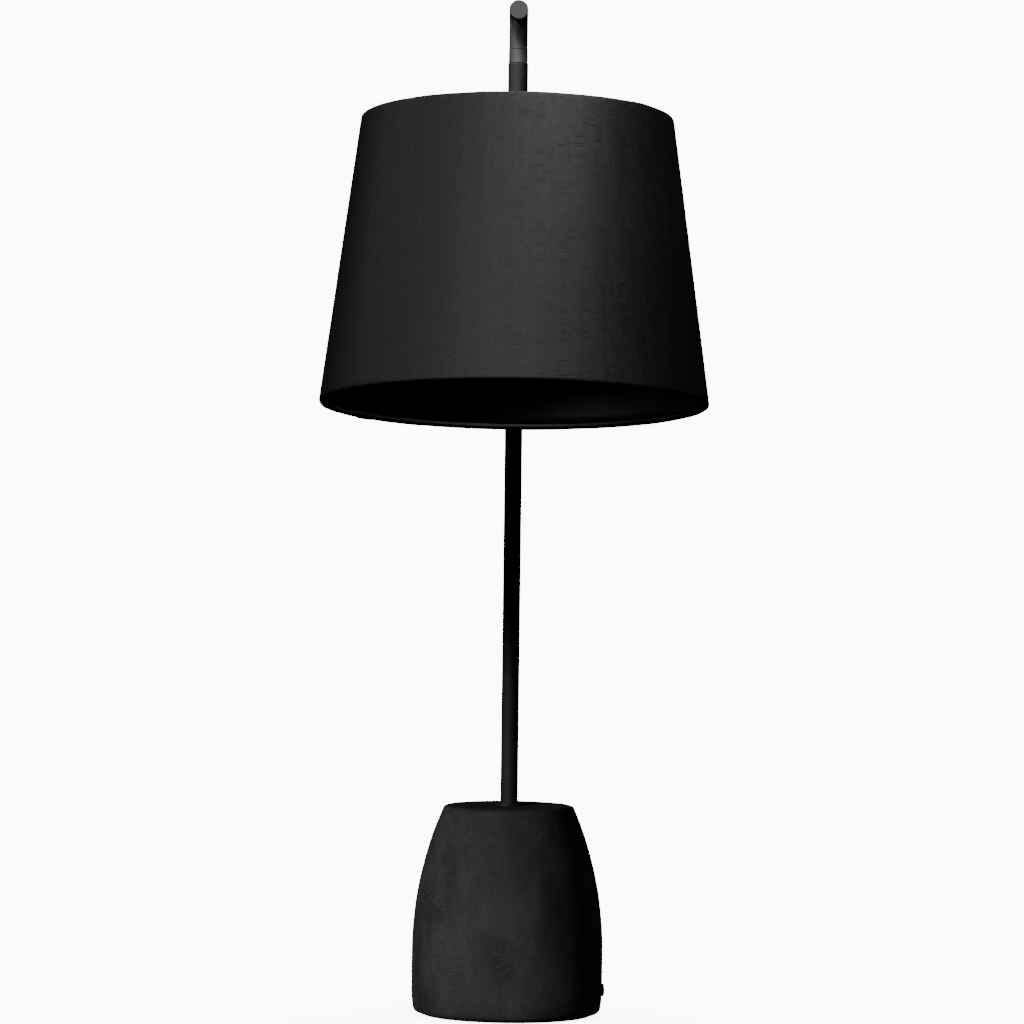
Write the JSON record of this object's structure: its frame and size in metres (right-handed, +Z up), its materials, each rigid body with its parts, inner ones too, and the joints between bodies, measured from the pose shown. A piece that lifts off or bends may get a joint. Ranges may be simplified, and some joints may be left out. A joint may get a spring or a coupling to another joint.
{
  "type": "table lamp",
  "caption": "Table lamp with a round concrete base, a bent pole, and a conical fabric shade that swivels and tilts under the arm.",
  "frame": {"origin": "centre of the foot pad's underside, on the pole's axis", "axes": "+Z up along the pole; -Y is the front, where the arm carries the shade; +X is to the right seen from the front"},
  "size_m": [0.2988, 0.4308, 0.7998],
  "materials": {
    "black_concrete": "matte cast concrete tinted black, cloudy with small pits",
    "black_paint": "fine matte black powder coat",
    "black_fabric": "black slubbed cloth with a soft sheen",
    "black_lining": "black laminated shade lining",
    "black_plastic": "satin moulded black",
    "zinc_steel": "zinc plated steel",
    "brass": "plain brass",
    "felt_pad": "black felt",
    "opal_glass": "opal white bulb",
    "white_ceramic": "unglazed white ceramic",
    "cable_sheath": "black flexible sheath"
  },
  "bodies": {
    "stand": {"foot_pad": "felt_pad", "base_body": "black_concrete", "base_plate": "zinc_steel", "base_plate_screws": "zinc_steel", "cable_gland": "black_plastic", "terminal_block": "black_plastic", "terminal_screws": "zinc_steel", "pole_escutcheon": "black_paint", "pole_insert": "zinc_steel", "pole_nipple": "zinc_steel", "pole_washer": "zinc_steel", "pole_lock_washer": "zinc_steel", "pole_nut": "zinc_steel", "lower_pole": "black_paint", "pole_coupler": "zinc_steel", "coupler_grub_screw": "zinc_steel", "arm_tube": "black_paint", "arm_end_cap": "black_paint", "drop_stub": "black_paint", "stub_insert": "zinc_steel", "swivel_collar": "black_paint", "swivel_nipple": "zinc_steel", "swivel_stop_pin": "zinc_steel", "swivel_washer": "zinc_steel", "swivel_nut": "zinc_steel", "pole_lead": "cable_sheath"},
    "drop": {"drop_tube": "black_paint", "knuckle_fork": "black_paint", "knuckle_washers": "zinc_steel", "knuckle_screw": "zinc_steel", "knuckle_nut": "zinc_steel", "drop_lead": "cable_sheath"},
    "shade": {"knuckle_tongue": "black_paint", "holder_nipple": "zinc_steel", "holder_lead": "cable_sheath", "lampholder_cap": "black_plastic", "lampholder_shell": "black_plastic", "lampholder_insert": "white_ceramic", "screw_sleeve": "brass", "centre_contact": "brass", "shade_ring_nut": "black_plastic", "shade_spider": "black_paint", "shade_top_wire": "black_paint", "shade_bottom_wire": "black_paint", "shade_fabric": "black_fabric", "shade_lining": "black_lining", "shade_top_hem": "black_fabric", "shade_bottom_hem": "black_fabric", "bulb_cap": "zinc_steel", "bulb_glass": "opal_glass"}
  },
  "joints": [
    {"name": "shade_swivel", "type": "hinge", "parent": "stand", "child": "drop", "pos_m": [0, -0.175, 0.7527], "axis": [0, 0, 1], "range_deg": [-90, 90]},
    {"name": "shade_tilt", "type": "hinge", "parent": "drop", "child": "shade", "pos_m": [0, -0.175, 0.7135], "axis": [-1, 0, 0], "range_deg": [-11, 22]}
  ]
}
